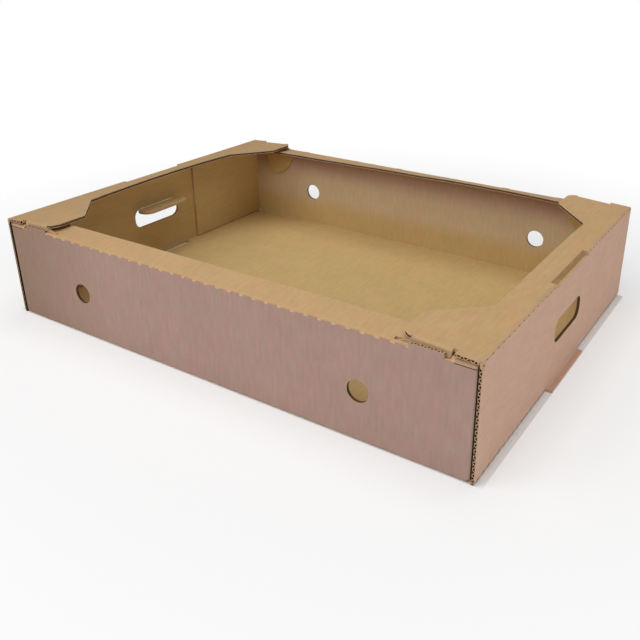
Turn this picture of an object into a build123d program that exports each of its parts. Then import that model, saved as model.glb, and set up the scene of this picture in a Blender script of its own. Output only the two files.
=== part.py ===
from build123d import *
import os
from math import cos, isclose, radians, sin, sqrt

# Folded corrugated tray, in millimetres. X runs along the long walls, +Z is up, and the origin
# is on the underside of the base, below the middle of the tray. A reach is measured from the
# outer face of an end wall, and a drop from the top of the tray.

# Overall size and the board
length = 600.0
width = 440.0
height = 120.0
board = 3.2
bend_inner_radius = 0.5
running_gap = 0.3
seam_gap = 0.3

# Voids of the fluting, which runs along Y in the flat sheet and opens at the raw edges
flute_pitch = 6.2
flute_base = 3.8
flute_rise = 2.1
flute_depth = 1.5
flute_margin = 4.5

# Long ledges, folded inwards at the top of the long walls and sprung up along their middle
ledge_width = 30.0
ledge_drop = 4.0
ledge_end_reach = 12.0
ledge_station_shares = (0, 0.25, 0.5, 0.75, 1)
front_ledge_rises_deg = (0, 5.0, 7.5, 9.0, 0)
back_ledge_rises_deg = (0, 6.0, 10.5, 13.0, 0)

# Corner flaps, glued inside the end walls
corner_flap_length = 148.0
corner_flap_drop = 4.8
corner_flap_lift = 4.2

# End ledges, hinged at the top of the end walls
narrow_reach = 30.0
wide_reach = 77.0
wide_run = 47.0
flush_reach = 25.0
corner_round_run = 15.0
end_ledge_rise_deg = 3.3
narrow_rise_deg = 5.0
narrow_rise_shares = (0, 0.75, 1, 0.75, 0)

# Ears of the end ledges, hanging inside the long walls through slots in the long ledges
ear_root_start = 29.0
ear_root_end = 66.0
ear_side_reach = 33.0
ear_centre_reach = 37.0
ear_centre_drop = 5.0
ear_radius = 45.0
ear_shoulder_deg = 8.0
ear_fold_radius = 3.0
ear_relief_depth = 3.0
ear_swing_gap = 0.6
ear_slot_drop = 11.0

# Lip of each long wall that stands up outside an ear, and the relief cut beside it
lip_start = 34.0
lip_end = 67.0
lip_drop = 2.0
relief_drop = 7.0

# Hand holes with their flaps, pushed in from the end walls
hand_hole_width = 79.0
hand_hole_height = 27.0
hand_hole_radius = 11.0
hand_hole_top = 76.0
hand_flap_gap = 0.5
hand_flap_rise_deg = 4.0

# Round vents in the long walls
vent_diameter = 23.0
vent_reach = 117.0
vent_height = 53.5

# Stacking slots at the top of the end walls, and the stacking tabs bent out at their foot
stack_length = 97.0
stack_slot_reach = 7.2
stack_slot_drop = 4.2
stack_tab_reach = 7.3
stack_tab_root_radius = 2.4
base_slot_width = 8.0

# Cuts that weaken the crease at the foot of each end wall
dash_pitch = 11.15
dash_length = 5.5
dash_width = 1.2
dash_depth = 1.4

# Places worked out from the sizes above
half_length = length / 2
half_width = width / 2
half_board = board / 2
bend_radius = half_board + bend_inner_radius
bend_outer_radius = board + bend_inner_radius
wall_middle_x = half_length - half_board
wall_middle_y = half_width - half_board
hinge_z = height - half_board
fold_centre_y = half_width - bend_outer_radius
fold_centre_z = height - ledge_drop - bend_outer_radius
flap_middle_x = half_length - board - seam_gap - half_board
walls_reach = board + seam_gap + bend_outer_radius
ear_face_y = half_width - board - running_gap
ear_swing_radius = ear_radius + sqrt(
    (ear_centre_reach - half_board) ** 2 + (ear_centre_drop - half_board) ** 2
)
ear_slot_start = ear_root_start - ear_swing_gap
ear_slot_end = half_board + ear_swing_radius + ear_swing_gap
slot_outer_y = half_width - board + running_gap
narrow_end_y = half_width - wide_run - wide_reach + narrow_reach
crease_mid_drop = bend_outer_radius * (1 - sqrt(1 / 2))
dash_count = int((half_width - dash_length) / dash_pitch)
dash_places = [
    step * dash_pitch
    for step in range(-dash_count, dash_count + 1)
    if abs(step) * dash_pitch > stack_length / 2 + dash_length
]
flute_void = ((-flute_base / 2, 0), (flute_base / 2, 0), (0, flute_rise))
flute_step = flute_pitch / 2
wall_flute_count = int((height - 2 * flute_margin) / flute_step) + 1
ledge_flute_count = int((flush_reach - half_board - flute_margin) / flute_step) + 1
lip_flute_count = int((lip_end - lip_start - flute_margin) / flute_step) + 1
sides = (-1, 1)
corners = [(side_x, side_y) for side_x in sides for side_y in sides]


with BuildPart() as tray_sheet:
    # End walls and the ends of the base, bent from the same board
    for side in sides:
        with BuildSketch(Plane.XZ):
            with BuildLine():
                FilletPolyline(
                    (side * wall_middle_x, hinge_z),
                    (side * wall_middle_x, half_board),
                    (side * (half_length - 2 * walls_reach), half_board),
                    radius=bend_radius,
                )
            trace(line_width=board)
            with Locations((side * wall_middle_x, hinge_z)):
                Circle(half_board)
        extrude(amount=half_width, both=True)
    with BuildSketch():
        with Locations(*[(x * (half_length - board), y * half_width) for x, y in corners]):
            Rectangle(2 * (2 * walls_reach - board), 2 * bend_outer_radius)
        with Locations(*[(x * half_length, y * half_width) for x, y in corners]):
            Rectangle(2 * board, 2 * bend_outer_radius, mode=Mode.SUBTRACT)
    extrude(amount=bend_outer_radius, mode=Mode.SUBTRACT)

    # Base and long walls, bent from one strip
    with BuildSketch(Plane.YZ.offset(walls_reach - half_length)):
        with BuildLine():
            FilletPolyline(
                (-wall_middle_y, fold_centre_z),
                (-wall_middle_y, half_board),
                (wall_middle_y, half_board),
                (wall_middle_y, fold_centre_z),
                radius=bend_radius,
            )
        trace(line_width=board)
    extrude(amount=2 * (half_length - walls_reach))

    # Corner flaps, bent from the ends of the long walls
    with BuildSketch(Plane.XY.offset(corner_flap_lift)):
        for side_x, side_y in corners:
            with BuildLine():
                FilletPolyline(
                    (side_x * (half_length - 2 * walls_reach), side_y * wall_middle_y),
                    (side_x * flap_middle_x, side_y * wall_middle_y),
                    (side_x * flap_middle_x, side_y * (half_width - corner_flap_length)),
                    radius=bend_radius,
                )
            trace(line_width=board)
    extrude(amount=height - corner_flap_drop - corner_flap_lift)
    with BuildSketch(Plane.XY.offset(fold_centre_z)):
        Rectangle(2 * (half_length - walls_reach), width)
    extrude(amount=height, mode=Mode.SUBTRACT)

    # Folds and long ledges, each lofted through stations that rise by different angles
    plate_width = ledge_width - bend_outer_radius
    for side, rises_deg in zip(sides, (front_ledge_rises_deg, back_ledge_rises_deg)):
        fold_centre = (side * fold_centre_y, fold_centre_z)
        wall_angle = 90 - side * 90
        for share, rise in zip(ledge_station_shares, rises_deg):
            station = (walls_reach - half_length) * (1 - 2 * share)
            with BuildSketch(Plane.YZ.offset(station)):
                with BuildLine():
                    sweep = side * (90 - rise)
                    outer = CenterArc(fold_centre, bend_outer_radius, wall_angle, sweep)
                    inner = CenterArc(fold_centre, bend_inner_radius, wall_angle, sweep)
                    top = PolarLine(outer @ 1, plate_width, wall_angle + sweep + side * 90)
                    edge = PolarLine(top @ 1, board, wall_angle + sweep + 180)
                    Line(edge @ 1, inner @ 1)
                    Line(inner @ 0, outer @ 0)
                make_face()
        loft()
    with BuildSketch(Plane.XY.offset(fold_centre_z)):
        trim_run = ledge_end_reach - walls_reach
        for x, y in corners:
            with Locations(
                (x * (half_length - walls_reach - trim_run / 2), y * (fold_centre_y - ledge_width))
            ):
                Rectangle(trim_run, 2 * ledge_width)
    extrude(amount=height, mode=Mode.SUBTRACT)

    # Slots for the ears, with the relief cut through the wall and the lip that stands up
    slot_middle = half_length - (ear_slot_start + ear_slot_end) / 2
    slot_width = board + 3 * running_gap
    with BuildSketch(Plane.XY.offset(height)):
        with Locations(
            *[(x * slot_middle, y * (slot_outer_y - slot_width / 2)) for x, y in corners]
        ):
            Rectangle(ear_slot_end - ear_slot_start, slot_width)
    extrude(amount=-ear_slot_drop, mode=Mode.SUBTRACT)
    with BuildSketch(Plane.XY.offset(height)):
        relief_middle = half_length - (ear_slot_start + lip_start) / 2
        with Locations(
            *[(x * relief_middle, y * (half_width - half_board)) for x, y in corners]
        ):
            Rectangle(lip_start - ear_slot_start, 2 * board)
    extrude(amount=-relief_drop, mode=Mode.SUBTRACT)
    with BuildSketch(Plane.XY.offset(height - lip_drop)):
        lip_middle = half_length - (lip_start + lip_end) / 2
        with Locations(*[(x * lip_middle, y * wall_middle_y) for x, y in corners]):
            Rectangle(lip_end - lip_start, board)
    extrude(amount=lip_drop - ear_slot_drop)
    with BuildSketch(Plane.XY.offset(height - lip_drop)):
        for x, y in corners:
            for step in range(lip_flute_count):
                place = x * (lip_middle + (step - (lip_flute_count - 1) / 2) * flute_step)
                with Locations(Location((place, y * wall_middle_y), 180 * (step % 2))):
                    Polygon(*flute_void, align=Align.CENTER)
    extrude(amount=-flute_depth, mode=Mode.SUBTRACT)

    # Vents through both long walls
    with BuildSketch(Plane.XZ):
        with Locations(*[(x * (half_length - vent_reach), vent_height) for x in sides]):
            Circle(vent_diameter / 2)
    extrude(amount=half_width, both=True, mode=Mode.SUBTRACT)

    # Hand holes through both end walls
    with BuildSketch(Plane.YZ):
        with Locations((0, hand_hole_top - hand_hole_height / 2)):
            RectangleRounded(hand_hole_width, hand_hole_height, hand_hole_radius)
    extrude(amount=half_length, both=True, mode=Mode.SUBTRACT)

    # Stacking slots in the top of the end walls, and slots left in the base by the tabs
    with BuildSketch(Plane.XY.offset(height - stack_slot_drop)):
        with Locations(*[(x * half_length, 0) for x in sides]):
            Rectangle(2 * board, stack_length)
    extrude(amount=stack_slot_drop, mode=Mode.SUBTRACT)
    with BuildSketch():
        with Locations(*[(x * (half_length - board - base_slot_width / 2), 0) for x in sides]):
            Rectangle(base_slot_width, stack_length)
    extrude(amount=bend_outer_radius, mode=Mode.SUBTRACT)

    # Stacking tabs, bent outwards at the foot of the end walls
    for side in sides:
        with BuildSketch(Plane.XZ):
            with BuildLine():
                Polyline(
                    (side * (half_length - board), 0),
                    (side * (half_length + stack_tab_reach), 0),
                    (side * (half_length + stack_tab_reach), board),
                    (side * (half_length + stack_tab_root_radius), board),
                )
                RadiusArc(
                    (side * (half_length + stack_tab_root_radius), board),
                    (side * half_length, board + stack_tab_root_radius),
                    side * stack_tab_root_radius,
                )
                Polyline(
                    (side * half_length, board + stack_tab_root_radius),
                    (side * (half_length - board), board + stack_tab_root_radius),
                    (side * (half_length - board), 0),
                )
            make_face()
        extrude(amount=stack_length / 2, both=True)

    # Cuts along the crease at the foot of the end walls
    for side in sides:
        crease = Plane(
            (side * (half_length - crease_mid_drop), 0, crease_mid_drop),
            x_dir=(0, 1, 0),
            z_dir=(side, 0, -1),
        )
        with BuildSketch(crease):
            with Locations(*[(place, 0) for place in dash_places]):
                Rectangle(dash_length, dash_width)
        extrude(amount=-dash_depth, mode=Mode.SUBTRACT)

    # Fluting at the raw front and back edges of the end walls
    for side in sides:
        with BuildSketch(Plane.XZ.offset(-side * half_width)):
            for x in sides:
                for step in range(wall_flute_count):
                    place = (x * wall_middle_x, flute_margin + step * flute_step)
                    with Locations(Location(place, 90 + 180 * (step % 2))):
                        Polygon(*flute_void, align=Align.CENTER)
        extrude(amount=side * flute_depth, mode=Mode.SUBTRACT)


with BuildPart() as left_end_ledge:
    # Wide corners in one plane, raised a little about the hinge at the end wall's top
    rise = radians(end_ledge_rise_deg)
    hinge = Vector(-wall_middle_x, 0, hinge_z)
    along = Vector(cos(rise), 0, sin(rise))
    upwards = Vector(-sin(rise), 0, cos(rise))
    ledge_plane = Plane(hinge, x_dir=along, z_dir=upwards)
    with BuildSketch(ledge_plane.offset(-half_board)):
        with BuildLine():
            Polyline(
                (0, -narrow_end_y),
                (0, -half_width),
                (flush_reach - half_board, -half_width),
                (flush_reach - half_board, ear_relief_depth - ear_face_y),
                (ear_root_start - half_board, ear_relief_depth - ear_face_y),
                (ear_root_start - half_board, -ear_face_y),
                (ear_root_end - half_board, -ear_face_y),
            )
            TangentArc(
                (wide_reach - half_board, corner_round_run - half_width),
                (ear_root_end - half_board, -ear_face_y),
                tangent=(0, -1),
            )
            Polyline(
                (wide_reach - half_board, corner_round_run - half_width),
                (wide_reach - half_board, wide_run - half_width),
                (narrow_reach - half_board, -narrow_end_y),
                (0, -narrow_end_y),
            )
        make_face()
        mirror(about=Plane.XZ)
    extrude(amount=board)

    # Ears, bent down from the plate along a rounded fold
    for side in sides:
        ear_face = Plane(hinge + Vector(0, side * ear_face_y, 0), x_dir=along, z_dir=(0, -1, 0))
        with BuildSketch(ear_face):
            with BuildLine():
                Polyline(
                    (ear_root_end - half_board, -half_board),
                    (ear_root_end - half_board, half_board),
                    (ear_root_start - half_board, half_board),
                    (ear_root_start - half_board, -half_board),
                    (ear_side_reach - half_board, half_board - ear_centre_drop - ear_radius),
                    (ear_centre_reach - half_board, half_board - ear_centre_drop - ear_radius),
                )
                ear_arc = CenterArc(
                    (ear_centre_reach - half_board, half_board - ear_centre_drop),
                    ear_radius,
                    -90,
                    90 - ear_shoulder_deg,
                )
                Line(ear_arc @ 1, (ear_root_end - half_board, -half_board))
            make_face()
        extrude(amount=side * board)
    fold_edges = left_end_ledge.edges().filter_by(
        lambda edge: isclose(abs(edge.center().Y), ear_face_y)
        and isclose(ledge_plane.to_local_coords(edge.center()).Z, half_board)
    )
    fillet(fold_edges, radius=ear_fold_radius)

    # Narrow strip between the corners, lofted so that it springs up along its middle
    for share, rise_share in zip(ledge_station_shares, narrow_rise_shares):
        strip_rise = end_ledge_rise_deg + narrow_rise_deg * rise_share
        with BuildSketch(Plane.XZ.offset(narrow_end_y * (1 - 2 * share))):
            with Locations(Location((-wall_middle_x, hinge_z), strip_rise)):
                Rectangle(narrow_reach - half_board, board, align=(Align.MIN, Align.CENTER))
    loft()
    with BuildSketch(Plane.XY.offset(hinge_z - board)):
        with Locations((-half_length, 0)):
            Rectangle(2 * stack_slot_reach, stack_length)
    extrude(amount=3 * board, mode=Mode.SUBTRACT)

    # Fluting at the raw front and back edges
    for side in sides:
        raw_edge = Plane(hinge + Vector(0, side * half_width, 0), x_dir=along, z_dir=(0, -1, 0))
        with BuildSketch(raw_edge):
            for step in range(ledge_flute_count):
                with Locations(Location((flute_margin + step * flute_step, 0), 180 * (step % 2))):
                    Polygon(*flute_void, align=Align.CENTER)
        extrude(amount=side * flute_depth, mode=Mode.SUBTRACT)

    # Hollow along the hinge, which lets the ledge turn round the end wall's top
    with BuildSketch(Plane(hinge, x_dir=along, z_dir=(0, -1, 0))):
        Circle(half_board + running_gap)
        Rectangle(
            2 * (half_board + running_gap), board, align=(Align.CENTER, Align.MAX)
        )
    extrude(amount=half_width, both=True, mode=Mode.SUBTRACT)

with BuildPart() as right_end_ledge:
    mirror(left_end_ledge.part, about=Plane.YZ)

with BuildPart() as left_hand_flap:
    # Flap cut from the hand hole and turned inwards about the hole's top inner edge
    turn = radians(hand_flap_rise_deg)
    flap_plane = Plane(
        (board - half_length, 0, hand_hole_top), x_dir=(0, 1, 0), z_dir=(sin(turn), 0, -cos(turn))
    )
    with BuildSketch(flap_plane):
        with Locations((0, hand_hole_height / 2)):
            RectangleRounded(
                hand_hole_width - 2 * hand_flap_gap,
                hand_hole_height - 2 * hand_flap_gap,
                hand_hole_radius - hand_flap_gap,
            )
    extrude(amount=board)

with BuildPart() as right_hand_flap:
    mirror(left_hand_flap.part, about=Plane.YZ)

tray_sheet.part.label = "tray_sheet"
left_end_ledge.part.label = "left_end_ledge"
right_end_ledge.part.label = "right_end_ledge"
left_hand_flap.part.label = "left_hand_flap"
right_hand_flap.part.label = "right_hand_flap"

os.makedirs("parts", exist_ok=True)
for piece in (
    tray_sheet.part,
    left_end_ledge.part,
    right_end_ledge.part,
    left_hand_flap.part,
    right_hand_flap.part,
):
    export_step(piece, "parts/" + piece.label + ".step")
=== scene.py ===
import math
import bmesh
import bpy
from mathutils import Matrix, Vector


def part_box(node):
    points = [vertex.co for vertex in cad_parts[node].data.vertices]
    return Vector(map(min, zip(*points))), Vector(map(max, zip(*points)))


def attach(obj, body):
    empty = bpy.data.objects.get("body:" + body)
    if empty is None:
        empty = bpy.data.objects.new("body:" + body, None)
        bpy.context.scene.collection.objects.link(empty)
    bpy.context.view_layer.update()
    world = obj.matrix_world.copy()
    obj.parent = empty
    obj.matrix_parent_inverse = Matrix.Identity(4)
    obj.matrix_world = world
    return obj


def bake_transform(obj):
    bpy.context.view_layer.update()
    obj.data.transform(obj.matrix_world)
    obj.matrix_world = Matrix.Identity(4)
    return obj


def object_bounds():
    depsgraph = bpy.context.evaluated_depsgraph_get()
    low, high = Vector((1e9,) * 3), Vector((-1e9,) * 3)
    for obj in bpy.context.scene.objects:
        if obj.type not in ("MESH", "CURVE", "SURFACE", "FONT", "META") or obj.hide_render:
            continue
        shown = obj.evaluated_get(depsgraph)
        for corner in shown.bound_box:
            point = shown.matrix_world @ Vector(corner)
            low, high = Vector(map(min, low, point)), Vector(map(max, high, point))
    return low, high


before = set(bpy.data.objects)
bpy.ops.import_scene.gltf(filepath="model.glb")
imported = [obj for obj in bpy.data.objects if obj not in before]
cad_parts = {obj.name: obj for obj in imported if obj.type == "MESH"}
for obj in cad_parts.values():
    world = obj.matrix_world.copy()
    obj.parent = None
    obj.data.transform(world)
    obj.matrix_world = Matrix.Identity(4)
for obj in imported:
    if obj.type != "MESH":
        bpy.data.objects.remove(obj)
cadLow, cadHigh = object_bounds()
print("frame loaded")

mm = 0.001
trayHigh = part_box("tray_sheet")[1]
board = 3.2 * mm


# camera, at the place where the photograph was taken
cameraPlace = {
    "spot": (0.49256, -0.6971, 0.42455),
    "azimuth": 31.487,
    "elevation": 23.825,
    "roll": 0.595,
    "lens": 42.45,
    "shiftX": -0.0864,
    "shiftY": -0.0816,
}


def makeCamera():
    data = bpy.data.cameras.new("camera")
    data.lens = cameraPlace["lens"]
    data.shift_x = cameraPlace["shiftX"]
    data.shift_y = cameraPlace["shiftY"]
    camera = bpy.data.objects.new("camera", data)
    turn = (
        Matrix.Rotation(math.radians(cameraPlace["azimuth"]), 4, "Z")
        @ Matrix.Rotation(math.radians(90 - cameraPlace["elevation"]), 4, "X")
        @ Matrix.Rotation(math.radians(cameraPlace["roll"]), 4, "Z")
    )
    camera.matrix_world = Matrix.Translation(cameraPlace["spot"]) @ turn
    bpy.context.collection.objects.link(camera)
    bpy.context.scene.camera = camera


makeCamera()
print("camera placed")


# shader helpers: a wire is one socket, and sums on wires add Math nodes
def toLinear(byte):
    share = byte / 255
    return share / 12.92 if share <= 0.04045 else ((share + 0.055) / 1.055) ** 2.4


def paint(red, green, blue):
    return (toLinear(red), toLinear(green), toLinear(blue), 1)


class Wire:
    def __init__(self, shade, socket):
        self.shade = shade
        self.socket = socket

    def maths(self, operation, *others):
        return self.shade.node("ShaderNodeMath", {"operation": operation}, dict(enumerate((self, *others))))

    def __add__(self, other):
        return self.maths("ADD", other)

    __radd__ = __add__

    def __mul__(self, other):
        return self.maths("MULTIPLY", other)

    __rmul__ = __mul__

    def __sub__(self, other):
        return self.maths("SUBTRACT", other)

    def __rsub__(self, other):
        return self.shade.node("ShaderNodeMath", {"operation": "SUBTRACT"}, {0: other, 1: self})

    def __gt__(self, other):
        return self.maths("GREATER_THAN", other)

    def __lt__(self, other):
        return self.maths("LESS_THAN", other)

    def __abs__(self):
        return self.maths("ABSOLUTE")


class Shade:
    def __init__(self, name):
        self.material = bpy.data.materials.new(name)
        self.material.use_nodes = True
        self.tree = self.material.node_tree
        self.tree.nodes.clear()

    def node(self, kind, settings=None, sockets=None, out=0):
        made = self.tree.nodes.new(kind)
        for key, value in (settings or {}).items():
            if key == "stops":
                ramp = made.color_ramp
                while len(ramp.elements) < len(value):
                    ramp.elements.new(0.5)
                for element, (place, colour) in zip(ramp.elements, value):
                    element.position = place
                    element.color = colour
            else:
                setattr(made, key, value)
        for key, value in (sockets or {}).items():
            if isinstance(value, Wire):
                self.tree.links.new(value.socket, made.inputs[key])
            else:
                made.inputs[key].default_value = value
        return Wire(self, made.outputs[out]) if made.outputs else made

    def mix(self, factor, first, second, blend="MIX"):
        return self.node(
            "ShaderNodeMix",
            {"data_type": "RGBA", "blend_type": blend},
            {0: factor, 6: first, 7: second},
            2,
        )

    def smooth(self, value, low, high):
        return self.node(
            "ShaderNodeMapRange",
            {"interpolation_type": "SMOOTHSTEP"},
            {"Value": value, "From Min": low, "From Max": high},
        )

    def noise(self, place, scale, detail=3, rough=0.55):
        sockets = {"Vector": place, "Scale": scale, "Detail": detail, "Roughness": rough}
        return self.node("ShaderNodeTexNoise", None, sockets)

    def stretch(self, place, scale):
        return self.node("ShaderNodeMapping", None, {"Vector": place, "Scale": scale})

    def split(self, vector):
        return [self.node("ShaderNodeSeparateXYZ", None, {0: vector}, axis) for axis in range(3)]

    def finish(self, colour, roughness, normal):
        surface = self.node(
            "ShaderNodeBsdfPrincipled",
            None,
            {"Base Color": colour, "Roughness": roughness, "Normal": normal, "Specular IOR Level": 0.25},
        )
        self.node("ShaderNodeOutputMaterial", None, {"Surface": surface})
        return self.material


# kraft liners: what a user would change about the paper
kraft = {
    "outer": paint(177, 146, 134),
    # painted shade: a darker, browner copy of the outer liner towards the left end
    "outerLeft": paint(154, 126, 108),
    # painted light: a lighter copy of the outer liner for the end walls, tabs and hand flaps, lit from the
    # right
    "outerEndLit": paint(205, 169, 147),
    # painted light: a warmer, yellower copy of the outer liner for the ledges' upward faces
    "ledge": paint(198, 162, 117),
    # painted shade: a darker copy of the ledge colour towards the left end
    "ledgeLeft": paint(184, 151, 109),
    "inner": paint(200, 170, 116),
    # painted light and shade: a lighter middle band and a mauve, darker top band of the inner liner under the
    # ledges
    "innerMidLit": paint(206, 184, 150),
    "innerTopShaded": paint(188, 158, 143),
    # painted shade: dark brown for the cut faces inside the vents and hand holes
    "cutRimShade": paint(104, 76, 48),
    "edge": paint(190, 157, 124),
    "pale": paint(222, 194, 160),
    # painted shade: the dark colour put in flute voids, cuts, slits and seams
    "void": paint(38, 25, 18),
    "rosy": (1.025, 0.982, 0.985, 1),
    "mossy": (0.975, 1.008, 0.99, 1),
    "flutePitch": 6.2 * mm,
    "blotchScale": 70,
    "cloudScale": 24,
    "streakScale": 230,
    "fibreScale": 420,
    "fleckScale": 900,
    "roughness": 0.78,
}

# sizes of the folded sheet that the looks and trims follow, read off the frame where it holds them
tabReach = 7.3 * mm
flushReach = 25 * mm
cutPitch = 11.15 * mm
halfLength = trayHigh.x - tabReach
halfWidth = trayHigh.y
wallTop = 120 * mm
hingeX = halfLength - board / 2
hingeZ = wallTop - board / 2
hingeRise = math.radians(3.3)
footDrop = 3.7 * mm * (1 - math.sqrt(0.5))
ventX = halfLength - 117 * mm
ventZ = 53.5 * mm
ventRadius = 11.5 * mm


# where the looks of the sheet change: heights, and depths below the outer faces of the walls
marks = {
    "skin": 0.05 * mm,
    "slip": 0.1 * mm,
    "leftShadeFade": (120 * mm, 310 * mm),
    "sideFade": (2.2 * mm, 1.6 * mm),
    "endFade": (1.5 * mm, 1.0 * mm),
    "midBand": (22 * mm, 56 * mm),
    "topBand": (70 * mm, 98 * mm),
    "ledgeLow": 108 * mm,
    "foldDepth": 4 * mm,
    "foldLow": 112.4 * mm,
    "rawEndReach": 3.15 * mm,
    "slotRimReach": 3.0 * mm,
    "slotRimLow": 100 * mm,
    "ringInset": 0.45 * mm,
    "ringHalf": 0.5 * mm,
    "handHalf": 41 * mm,
    "handLow": 45 * mm,
    "handTop": 80 * mm,
    "voidDepth": 1.6 * mm,
    "voidHalf": 1.32 * mm,
    "ledgeVoidHalf": 1.3 * mm,
    "lipLow": 116.4 * mm,
    "lipTop": 117.9 * mm,
    "lipInner": 217.1 * mm,
    "lipOuter": 219.7 * mm,
    "footVoid": (0.15 * mm, 1.6 * mm),
    "footVoidHalf": 0.7 * mm,
    "footReach": 50 * mm,
    "slitHalf": 2.6 * mm,
    "slitHeight": 2.7 * mm,
    "slitHalfHeight": 0.75 * mm,
    "slitDepth": 1.2 * mm,
    "slitReach": 53 * mm,
    "slitGap": 3 * mm,
    "seamHeight": 112.1 * mm,
    "seamHalfHeight": 0.4 * mm,
    "seamDepth": 1 * mm,
    "endSeamInset": 0.5 * mm,
    "endSeamHalf": 0.9 * mm,
    "endSeamDepth": 2.5 * mm,
    "tabStart": 0.2 * mm,
    "earTop": 112 * mm,
    "earInset": 5 * mm,
    "rimLow": 116 * mm,
}


def paintedShadeLeftward(shade, x, name):
    # painted shade: the outer liner and the ledge faces are painted darker and browner towards the left end
    return shade.mix(shade.smooth(x * -1, *marks["leftShadeFade"]), kraft[name], kraft[name + "Left"])


def anyOf(shade, masks):
    return shade.node("ShaderNodeClamp", None, {0: masks})


def trayLiners(shade, place, facing):
    # outer liner on the sides, painted light on the folded ledges: their upward faces take a warmer copy of the
    # same outer liner; inner liner inside
    x, y, z = place
    nx, ny, nz = facing
    farX, farY = abs(x), abs(y)
    skin, slip = marks["skin"], marks["slip"]
    sideLow, sideHigh = [halfWidth - depth for depth in marks["sideFade"]]
    endLow, endHigh = [halfLength - depth for depth in marks["endFade"]]
    side = shade.smooth(farY, sideLow, sideHigh) * shade.smooth(abs(ny), 0.3, 0.7)
    end = shade.smooth(farX, endLow, endHigh) * shade.smooth(abs(nx), 0.3, 0.7)
    # painted light: the upward faces of the folded ledges take the warmer copy of the outer liner
    top = shade.smooth(nz, 0.16, 0.3) * (z > marks["ledgeLow"])
    longWall = shade.smooth(abs(ny), 0.4, 0.8)
    # painted bounced light and painted shade on the inner faces of the long walls: a lighter middle band, then
    # a mauve, darker top band under the ledges
    colour = shade.mix(shade.smooth(z, *marks["midBand"]) * longWall, kraft["inner"], kraft["innerMidLit"])
    colour = shade.mix(shade.smooth(z, *marks["topBand"]) * longWall, colour, kraft["innerTopShaded"])
    colour = shade.mix(side, colour, paintedShadeLeftward(shade, x, "outer"))
    # painted light: the end walls and tabs take the lighter copy of the outer liner
    tab = farX > halfLength + marks["tabStart"]
    colour = shade.mix(anyOf(shade, end + tab), colour, kraft["outerEndLit"])
    colour = shade.mix(top, colour, paintedShadeLeftward(shade, x, "ledge"))
    foldOut = farY > halfWidth - marks["foldDepth"]
    # partly torn liner, partly painted highlight: the fold arc's faces that tilt up are painted pale
    tornAndHighlight = top * (1 - shade.smooth(nz, 0.4, 0.6)) * foldOut
    colour = shade.mix(tornAndHighlight * 0.6, colour, kraft["pale"])
    nearEnd = farX > halfLength - flushReach
    rawEnd = (farY > halfWidth - skin) * (farX > halfLength - marks["rawEndReach"])
    cornerFold = nearEnd * foldOut * (z > marks["foldLow"])
    slotRim = (farX > halfLength - marks["slotRimReach"]) * (farX < halfLength - slip)
    slotRim = slotRim * (nz > 0.5) * (z > marks["slotRimLow"])
    colour = shade.mix(anyOf(shade, rawEnd + slotRim + cornerFold), colour, kraft["edge"])

    # pale pressed ring round each vent, and painted shade inside the vents and hand holes, whose cut faces are
    # painted dark brown
    across = farX - ventX
    around = z - ventZ
    radius = (across * across + around * around).maths("SQRT")
    ring = side * (abs(radius - ventRadius - marks["ringInset"]) < marks["ringHalf"])
    colour = shade.mix(ring * 0.6, colour, kraft["edge"])
    ventRim = (radius < ventRadius + slip) * (farY > halfWidth - board + slip)
    handRim = (farX > halfLength - board + slip) * (farX < halfLength - skin) * (farY < marks["handHalf"])
    handRim = handRim * (z > marks["handLow"]) * (z < marks["handTop"])
    colour = shade.mix(anyOf(shade, ventRim + handRim), colour, kraft["cutRimShade"])

    # painted shade: dark inside the voids of the raw edges and inside the cuts at the foot, and dark slits and
    # seams between the parts
    inEdge = (farY > halfWidth - marks["voidDepth"]) * (farY < halfWidth - skin)
    wallVoid = inEdge * (abs(farX - hingeX) < marks["voidHalf"]) * (z < hingeZ)
    lipVoid = (z < marks["lipTop"]) * (z > marks["lipLow"])
    lipVoid = lipVoid * (farY > marks["lipInner"]) * (farY < marks["lipOuter"])
    footIn = ((farX - (halfLength - footDrop)) * -1 + z - footDrop) * math.sqrt(0.5)
    footAcross = (farX - (halfLength - footDrop) + z - footDrop) * math.sqrt(0.5)
    footCut = (footIn > marks["footVoid"][0]) * (footIn < marks["footVoid"][1])
    footCut = footCut * (abs(footAcross) < marks["footVoidHalf"]) * (farY > marks["footReach"])
    along = (farY + cutPitch / 2).maths("MODULO", cutPitch) - cutPitch / 2
    slit = (abs(along) < marks["slitHalf"]) * (abs(z - marks["slitHeight"]) < marks["slitHalfHeight"])
    slit = slit * (farX > halfLength - marks["slitDepth"])
    slit = slit * (farY > marks["slitReach"]) * (farY < halfWidth - marks["slitGap"])
    foldSeam = nearEnd * (farY > halfWidth - marks["seamDepth"])
    foldSeam = foldSeam * (abs(z - marks["seamHeight"]) < marks["seamHalfHeight"]) * (farX < halfLength - board)
    endSeam = abs(farX - halfLength + board + marks["endSeamInset"]) < marks["endSeamHalf"]
    endSeam = endSeam * (farY > halfWidth - marks["endSeamDepth"]) * (z < hingeZ)
    shadedHollows = anyOf(shade, wallVoid + lipVoid + footCut + slit + foldSeam + endSeam)
    return shade.mix(shadedHollows, colour, kraft["void"])


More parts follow.
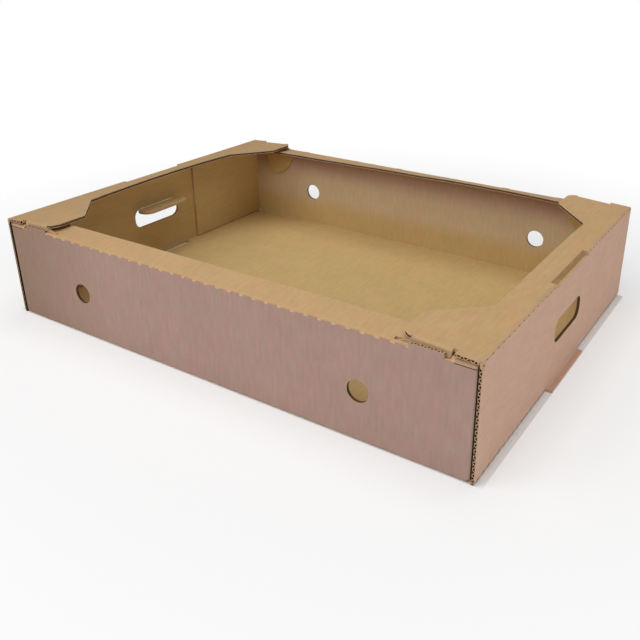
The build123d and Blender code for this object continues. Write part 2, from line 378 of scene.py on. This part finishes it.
def ledgeLiners(shade, place, facing):
    # outer liner above, in the warmer painted-light copy of the outer liner, inner liner below and on the ears'
    # inner faces, paler cut edges
    x, y, z = place
    nx, ny, nz = facing
    farX, farY = abs(x), abs(y)
    under = shade.smooth(nz * -1, 0.3, 0.6)
    earIn = (z < marks["earTop"]) * shade.smooth(abs(ny), 0.3, 0.6) * (farY < halfWidth - marks["earInset"])
    # the pale edge colour marks the cut edges, and on the ears' rounded folds it is a painted highlight
    rim = shade.smooth(abs(nz) * -1, -0.5, -0.3) * (z > marks["rimLow"])
    colour = shade.mix(anyOf(shade, under + earIn), paintedShadeLeftward(shade, x, "ledge"), kraft["inner"])
    colour = shade.mix(rim, colour, kraft["edge"])
    inEdge = (farY > halfWidth - marks["voidDepth"]) * (farY < halfWidth - marks["skin"])
    through = z - hingeZ - (hingeX - farX) * math.tan(hingeRise)
    # painted shade: dark inside the flute voids of the ledge's raw edge
    ledgeVoid = inEdge * (abs(through) < marks["ledgeVoidHalf"])
    return shade.mix(ledgeVoid, colour, kraft["void"])


def flapLiners(shade, place, facing):
    under = shade.smooth(facing[2] * -1, 0.3, 0.6)
    rim = shade.smooth(abs(facing[2]) * -1, -0.5, -0.3)
    # painted light: the flap's faces that don't face down take the lighter copy of the outer liner
    colour = shade.mix(under, kraft["inner"], kraft["outerEndLit"])
    return shade.mix(rim, colour, kraft["edge"])


def kraftMaterial(name, liners):
    shade = Shade(name)
    place = shade.node("ShaderNodeTexCoord", None, None, 3)
    x, y, z = shade.split(place)
    facing = shade.split(shade.node("ShaderNodeTexCoord", None, None, 1))
    colour = liners(shade, (x, y, z), facing)

    # the fluting runs along the width of the flat sheet, so it turns where an end wall is folded up
    endWall = shade.smooth(abs(facing[0]), 0.6, 0.8)
    line = x + endWall * (z - x)
    grain = shade.node("ShaderNodeCombineXYZ", None, {0: line, 1: 0.22 * y, 2: 0.22 * z})
    blotch = shade.noise(place, kraft["blotchScale"], 3, 0.6)
    cloud = shade.noise(place, kraft["cloudScale"], 3)
    streak = shade.noise(grain, kraft["streakScale"], 3, 0.6)
    fibre = shade.noise(shade.stretch(place, (1, 2.6, 2.6)), kraft["fibreScale"], 3, 0.6)
    fleck = shade.noise(shade.stretch(place, (2.4, 1, 2.4)), kraft["fleckScale"], 2, 0.7)
    cast = shade.mix(shade.smooth(blotch, 0.36, 0.66), kraft["rosy"], kraft["mossy"])
    colour = shade.mix(1, colour, cast, "MULTIPLY")
    wave = (line * (2 * math.pi / kraft["flutePitch"])).maths("SINE")
    # painted shade: the small wave term lightens and darkens the liner along the flute ribs
    tone = 0.80 + 0.14 * cloud + 0.16 * (fibre - 0.5) + 0.10 * (fleck - 0.5) + 0.26 * streak + 0.008 * wave
    tone = shade.node("ShaderNodeCombineColor", None, {0: tone, 1: tone, 2: tone})
    colour = shade.mix(1, colour, tone, "MULTIPLY")
    relief = 0.10 * wave + 0.3 * fibre + 0.4 * cloud + 0.25 * streak
    bump = shade.node("ShaderNodeBump", None, {"Height": relief, "Strength": 0.3, "Distance": 0.6 * mm})
    return shade.finish(colour, kraft["roughness"], bump)


def plainPaper(name, colour, roughness):
    shade = Shade(name)
    place = shade.node("ShaderNodeTexCoord", None, None, 3)
    grain = shade.noise(place, kraft["fibreScale"], 3)
    dim = shade.mix(1, colour, (0.72, 0.70, 0.68, 1), "MULTIPLY")
    tint = shade.mix(shade.smooth(grain, 0.3, 0.75), dim, colour)
    bump = shade.node("ShaderNodeBump", None, {"Height": grain, "Strength": 0.25, "Distance": 0.3 * mm})
    return shade.finish(tint, roughness, bump)


kraftShade = kraftMaterial("kraft_board", trayLiners)
ledgeShade = kraftMaterial("kraft_end_ledge", ledgeLiners)
flapShade = kraftMaterial("kraft_hand_flap", flapLiners)
paleShade = plainPaper("liner_cut_edge", kraft["pale"], 0.85)
voidShade = plainPaper("flute_shadow", kraft["void"], 0.95)
for name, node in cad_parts.items():
    node.data.materials.clear()
    shade = ledgeShade if name.endswith("end_ledge") else flapShade if name.endswith("flap") else kraftShade
    node.data.materials.append(shade)
print("board material made")


# mesh helpers
def newPiece(name, mesh, shades):
    data = bpy.data.meshes.new(name)
    mesh.to_mesh(data)
    mesh.free()
    for shade in shades:
        data.materials.append(shade)
    piece = bpy.data.objects.new(name, data)
    bpy.context.collection.objects.link(piece)
    return piece


def drawBand(mesh, rows, closed=False):
    # a band of paper: the first row is drawn, and each next row is extruded from the one before
    verts = [mesh.verts.new(point) for point in rows[0]]
    edges = [mesh.edges.new(pair) for pair in zip(verts, verts[1:])]
    if closed:
        edges.append(mesh.edges.new((verts[-1], verts[0])))
    faces = []
    for before, row in zip(rows, rows[1:]):
        grown = bmesh.ops.extrude_edge_only(mesh, edges=edges)["geom"]
        faces += [part for part in grown if isinstance(part, bmesh.types.BMFace)]
        edges = [part for part in grown if isinstance(part, bmesh.types.BMEdge)]
        verts = [part for part in grown if isinstance(part, bmesh.types.BMVert)]
        moves = [min(range(len(row)), key=lambda spot: (before[spot] - vert.co).length) for vert in verts]
        for vert, spot in zip(verts, moves):
            vert.co = row[spot]
    return faces


def topAt(node, x, y):
    # height of a node's upper face above a point of the plan
    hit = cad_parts[node].ray_cast((x, y, 1), (0, 0, -1))
    return hit[1].z if hit[0] else None


# liner that bends over the crease of each end ledge, with the short cuts that weaken it
crease = {
    "wallRun": 2.6 * mm,
    "ledgeRun": 4.4 * mm,
    "proud": 0.16 * mm,
    "thickness": 0.12 * mm,
    "arcSteps": 6,
    "cutLength": 3.2 * mm,
    "cutStep": 2,
    "slotHalf": 48.6 * mm,
    "endGap": 0.3 * mm,
    "cutMargin": 5 * mm,
}


def creaseRows(side, y):
    node = "left_end_ledge" if side < 0 else "right_end_ledge"
    radius = board / 2 + crease["proud"]
    rows = [Vector((side * (halfLength + 0.02 * mm), y, hingeZ - crease["wallRun"]))]
    for step in range(crease["arcSteps"] + 1):
        turn = math.radians(90) * step / crease["arcSteps"]
        rows.append(Vector((side * (hingeX + radius * math.cos(turn)), y, hingeZ + radius * math.sin(turn))))
    foot = side * (hingeX - crease["ledgeRun"])
    rows.append(Vector((foot, y, topAt(node, foot, y) + 0.03 * mm)))
    return rows


def makeCrease(side, half):
    # stations lie at the ends of the cuts, so that a cut is a whole face
    stations = {crease["slotHalf"], halfWidth - crease["endGap"]}
    count = int(halfWidth / cutPitch)
    cuts = [step * cutPitch for step in range(count + 1)]
    first, last = crease["slotHalf"] + crease["cutMargin"], halfWidth - crease["cutMargin"]
    cuts = [cut for cut in cuts if first < cut < last]
    for cut in cuts:
        stations |= {cut - crease["cutLength"] / 2, cut + crease["cutLength"] / 2}
    stations = sorted(half * station for station in stations)
    mesh = bmesh.new()
    faces = drawBand(mesh, [creaseRows(side, station) for station in stations])
    for face in faces:
        middle = face.calc_center_median()
        turn = math.atan2(middle.z - hingeZ, abs(middle.x) - hingeX)
        step = math.degrees(turn) / (90 / crease["arcSteps"])
        inCut = any(abs(abs(middle.y) - cut) < 0.1 * mm for cut in cuts)
        # painted shade: the faces of each cut take the dark flute-shadow material
        if inCut and crease["cutStep"] <= step < crease["cutStep"] + 1:
            face.material_index = 1
    name = ("left" if side < 0 else "right") + "_crease_" + ("front" if half < 0 else "back")
    piece = newPiece(name, mesh, [kraftShade, voidShade])
    piece.data.shade_smooth()
    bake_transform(piece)


for side in (-1, 1):
    for half in (-1, 1):
        makeCrease(side, half)
print("creases of the end ledges made")


# outer liner left standing at the cuts along the folds of the long ledges
foldLips = {
    "pitch": 15.0 * mm,
    "length": 10.2 * mm,
    "height": 2.8 * mm,
    "thickness": 0.6 * mm,
    "foot": 112.0 * mm,
    "proud": 0.3 * mm,
    "corner": 0.7 * mm,
    "reach": 226 * mm,
}


def makeFoldLips(side):
    mesh = bmesh.new()
    count = int(foldLips["reach"] / foldLips["pitch"])
    for step in range(-count, count + 1):
        lip = bmesh.ops.create_cube(mesh, size=1)["verts"]
        wobble = 0.12 * math.sin(step * 2.3) + 0.08 * math.sin(step * 5.1)
        size = (foldLips["length"], foldLips["thickness"], foldLips["height"] * (1 + wobble))
        bmesh.ops.scale(mesh, vec=size, verts=lip)
        spot = (
            step * foldLips["pitch"],
            side * (halfWidth + foldLips["proud"] - foldLips["thickness"] / 2),
            foldLips["foot"] + size[2] / 2,
        )
        bmesh.ops.translate(mesh, vec=spot, verts=lip)
        corners = {
            edge for vert in lip for edge in vert.link_edges
            if abs(edge.verts[0].co.y - edge.verts[1].co.y) > 0.1 * mm and edge.verts[0].co.z > spot[2]
        }
        bmesh.ops.bevel(
            mesh, geom=list(corners), offset=foldLips["corner"], offset_type="OFFSET",
            segments=3, profile=0.5, affect="EDGES", material=-1,
        )
    bmesh.ops.recalc_face_normals(mesh, faces=mesh.faces)
    piece = newPiece(("front" if side < 0 else "back") + "_fold_lips", mesh, [kraftShade])
    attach(piece, "tray")


for side in (-1, 1):
    makeFoldLips(side)
print("fold lips made")


# raw edges: two liners with the fluted sheet between them
rawEdge = {
    "liner": 0.45 * mm,
    "proud": 0.32 * mm,
    "medium": 0.30 * mm,
    "backing": 0.14 * mm,
    "lift": 0.012,
    "faceLimit": 5 * mm,
    "coverLeast": 1 * mm,
    "stepsPerFlute": 8,
    "measured": 16,
    "foldCentreY": 216.3 * mm,
    "foldCentreZ": 112.3 * mm,
    "plate": 26.3 * mm,
    "bendOuter": 3.7 * mm,
    "bendInner": 0.5 * mm,
    "longReach": 287.8 * mm,
    "riseNear": 197 * mm,
    "riseFar": 209 * mm,
}


def longRise(side, x):
    # rise of a long ledge at x, measured on its upper face
    near, far = rawEdge["riseNear"], rawEdge["riseFar"]
    top = [topAt("tray_sheet", x, side * y) for y in (near, far)]
    return math.atan2(top[0] - top[1], far - near)


def longEdgeStation(side, x, rise):
    inward = Vector((0, -side * math.cos(rise), math.sin(rise)))
    upward = Vector((0, side * math.sin(rise), math.cos(rise)))
    centre = Vector((x, side * rawEdge["foldCentreY"], rawEdge["foldCentreZ"]))
    tip = centre + inward * rawEdge["plate"]
    return tip + upward * rawEdge["bendInner"], tip + upward * rawEdge["bendOuter"], inward, 0


def makeRawEdge(name, body, stations):
    # stations hold the lower and upper corner, the direction away from the edge and the cover:
    # over a rounded rim the upper liner reaches that far back onto the flat of the ledge
    mesh = bmesh.new()
    proud = rawEdge["proud"]
    for share in (0, 1):
        rows = []
        for low, high, out, cover in stations:
            across = (high - low).normalized() * rawEdge["liner"]
            back = out * cover * share
            foot = low if share == 0 else high - across + across.normalized() * cover * rawEdge["lift"]
            tip = foot + out * proud
            rows.append([foot - back, tip, tip + across, foot + across - back])
        faces = drawBand(mesh, rows, closed=True)
        ends = bmesh.ops.holes_fill(mesh, edges=[edge for edge in mesh.edges if edge.is_boundary])["faces"]
        for face in faces + ends:
            face.normal_update()
            lengths = [edge.calc_length() for edge in face.edges]
            wide = max(length for length in lengths if length < rawEdge["faceLimit"])
            face.material_index = 0 if abs(face.normal.z) > 0.9 and wide > rawEdge["coverLeast"] else 1
    # painted shade: a dark backing sheet behind the liners stands for the shade inside the flute gaps
    depth = rawEdge["backing"]
    backing = drawBand(mesh, [[low + out * depth, high + out * depth] for low, high, out, _ in stations])
    for face in backing:
        face.material_index = 2
    rows = []
    for low, high, out, _ in stations:
        gap = (high - low).length - 2 * rawEdge["liner"]
        swing = 0.5 + 0.5 * math.sin(2 * math.pi * low.x / kraft["flutePitch"])
        spot = low + (high - low).normalized() * (rawEdge["liner"] + gap * (0.06 + 0.88 * swing))
        rows.append([spot, spot + out * proud * 0.9])
    wave = drawBand(mesh, rows)
    bmesh.ops.solidify(mesh, geom=wave, thickness=rawEdge["medium"])
    bmesh.ops.recalc_face_normals(mesh, faces=mesh.faces)
    boardShade = kraftShade if body == "tray" else ledgeShade
    piece = newPiece(name, mesh, [boardShade, paleShade, voidShade])
    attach(piece, body)


def makeLongEdge(side):
    # the rise changes slowly, so it is measured in a few places and drawn out between them
    step = kraft["flutePitch"] / rawEdge["stepsPerFlute"]
    count = int(rawEdge["longReach"] / step / rawEdge["measured"]) * rawEdge["measured"]
    places = range(-count, count + 1)
    known = {index: longRise(side, index * step) for index in places[::rawEdge["measured"]]}
    stations = []
    for index in places:
        before = index - (index + count) % rawEdge["measured"]
        after = min(before + rawEdge["measured"], count)
        share = (index - before) / rawEdge["measured"]
        rise = known[before] + (known[after] - known[before]) * share
        stations.append(longEdgeStation(side, index * step, rise))
    makeRawEdge(("front" if side < 0 else "back") + "_ledge_raw_edge", "tray", stations)


# inner outline of an end ledge: reach from the hinge along the ledge, and distance from the middle
ledgeEdge = {
    "wide": 75.4 * mm,
    "wideEnd": 205 * mm,
    "wideStart": 173 * mm,
    "narrow": 28.4 * mm,
    "narrowEnd": 126 * mm,
    "roundRadius": 11.5 * mm,
    "roundDegrees": 84,
    "rimCover": 3.4 * mm,
    "strides": 14,
    "riseNear": 12 * mm,
    "riseFar": 24 * mm,
}


def stripRise(side, y):
    node = "left_end_ledge" if side < 0 else "right_end_ledge"
    near, far = halfLength - ledgeEdge["riseNear"], halfLength - ledgeEdge["riseFar"]
    return math.atan2(topAt(node, side * far, y) - topAt(node, side * near, y), near - far)


def ledgeStation(side, reach, y, rise, outReach, outY, cover=0):
    along = Vector((-side * math.cos(rise), 0, math.sin(rise)))
    upward = Vector((side * math.sin(rise), 0, math.cos(rise)))
    spot = Vector((side * hingeX, y, hingeZ)) + along * reach
    out = along * outReach + Vector((0, outY, 0))
    return spot - upward * board / 2, spot + upward * board / 2, out, cover


def cornerStations(side, half):
    # round corner by the ear, the wide edge and the slanting edge down to the narrow strip
    step = kraft["flutePitch"] / rawEdge["stepsPerFlute"]
    turns = int(math.radians(ledgeEdge["roundDegrees"]) * ledgeEdge["roundRadius"] / step)
    path = []
    for index in range(turns, -1, -1):
        turn = math.radians(ledgeEdge["roundDegrees"]) * index / turns
        reach = ledgeEdge["wide"] - ledgeEdge["roundRadius"] * (1 - math.cos(turn))
        y = ledgeEdge["wideEnd"] + ledgeEdge["roundRadius"] * math.sin(turn)
        path.append((reach, y, math.cos(turn), math.sin(turn), ledgeEdge["rimCover"]))
    path.append((ledgeEdge["wide"], ledgeEdge["wideStart"], 1, 0, ledgeEdge["rimCover"]))
    run = ledgeEdge["wide"] - ledgeEdge["narrow"]
    slants = int(run * math.sqrt(2) / step)
    for index in range(slants):
        share = index / slants
        path.append((ledgeEdge["wide"] - run * share, ledgeEdge["wideStart"] - run * share,
                     math.sqrt(0.5), -math.sqrt(0.5), 0))
    path.append((ledgeEdge["narrow"], ledgeEdge["narrowEnd"], math.sqrt(0.8), -math.sqrt(0.2), 0))
    return [ledgeStation(side, reach, half * y, hingeRise, outReach, half * outY, cover)
            for reach, y, outReach, outY, cover in path]


def makeLedgeEdge(side):
    strip = []
    for index in range(1, 2 * ledgeEdge["strides"]):
        y = ledgeEdge["narrowEnd"] * (index / ledgeEdge["strides"] - 1)
        strip.append(ledgeStation(side, ledgeEdge["narrow"], y, stripRise(side, y), 1, 0))
    stations = cornerStations(side, -1) + strip + cornerStations(side, 1)[::-1]
    word = "left" if side < 0 else "right"
    makeRawEdge(word + "_end_ledge_raw_edge", word + "_ledge", stations)


for side in (-1, 1):
    makeLongEdge(side)
    makeLedgeEdge(side)
print("raw edges made")


# floor, lights and the white surroundings
studio = {
    "floorSize": 14.0,
    "floor": paint(250, 250, 250),
    "nearWhite": 0.4,
    "fadeStart": 0.34,
    "fadeEnd": 0.8,
    "worldStrength": 0.2,
    "lamps": {
        "keyLeft": ((-1.3, -1.5, 2.2), 21.5, 1.6),
        "top": ((0.2, 0.0, 2.6), 29.5, 2.0),
        "front": ((0.1, -2.2, 1.6), 15.5, 1.4),
        "lowRight": ((2.2, -0.2, 0.25), 9.0, 0.5),
    },
}


def areaLamp(name, spot, power, size):
    data = bpy.data.lights.new(name, "AREA")
    data.energy = power
    data.size = size
    lamp = bpy.data.objects.new(name, data)
    lamp.matrix_world = Matrix.Translation(spot) @ Vector(spot).to_track_quat("Z", "Y").to_matrix().to_4x4()
    bpy.context.collection.objects.link(lamp)


def whiteShown(shade):
    path = [shade.node("ShaderNodeLightPath", None, None, name) for name in
            ("Is Camera Ray", "Is Glossy Ray", "Is Transmission Ray")]
    return (path[0] + path[1] + path[2]) > 0.5


def makeStudio():
    mesh = bmesh.new()
    bmesh.ops.create_grid(mesh, x_segments=1, y_segments=1, size=studio["floorSize"] / 2)
    data = bpy.data.meshes.new("floor")
    mesh.to_mesh(data)
    mesh.free()
    floor = bpy.data.objects.new("floor", data)
    bpy.context.collection.objects.link(floor)
    shade = Shade("floor_white")
    matt = shade.node("ShaderNodeBsdfDiffuse", None, {"Color": studio["floor"]})
    white = shade.node("ShaderNodeEmission", None, {"Color": (1, 1, 1, 1), "Strength": 1.0})
    place = shade.node("ShaderNodeTexCoord", None, None, 3)
    away = shade.node("ShaderNodeVectorMath", {"operation": "LENGTH"}, {0: place}, 1)
    fade = shade.smooth(away, studio["fadeStart"], studio["fadeEnd"])
    far = studio["nearWhite"] + (1 - studio["nearWhite"]) * fade
    across, along, up = [abs(part) for part in shade.split(place)]
    outside = 1 - (across < cadHigh.x) * (along < cadHigh.y)
    far = far * outside * whiteShown(shade)
    surface = shade.node("ShaderNodeMixShader", None, {0: far, 1: matt, 2: white})
    shade.node("ShaderNodeOutputMaterial", None, {"Surface": surface})
    data.materials.append(shade.material)

    world = bpy.data.worlds.new("world")
    bpy.context.scene.world = world
    world.use_nodes = True
    background = world.node_tree.nodes["Background"]
    background.inputs["Color"].default_value = (1, 1, 1, 1)
    lightPath = world.node_tree.nodes.new("ShaderNodeLightPath")
    strength = world.node_tree.nodes.new("ShaderNodeMix")
    strength.inputs[2].default_value = studio["worldStrength"]
    strength.inputs[3].default_value = 1
    world.node_tree.links.new(lightPath.outputs["Is Camera Ray"], strength.inputs[0])
    world.node_tree.links.new(strength.outputs[0], background.inputs["Strength"])
    for name, (spot, power, size) in studio["lamps"].items():
        areaLamp(name, spot, power, size)
    bpy.context.scene.view_settings.view_transform = "Standard"


makeStudio()
print("studio set")
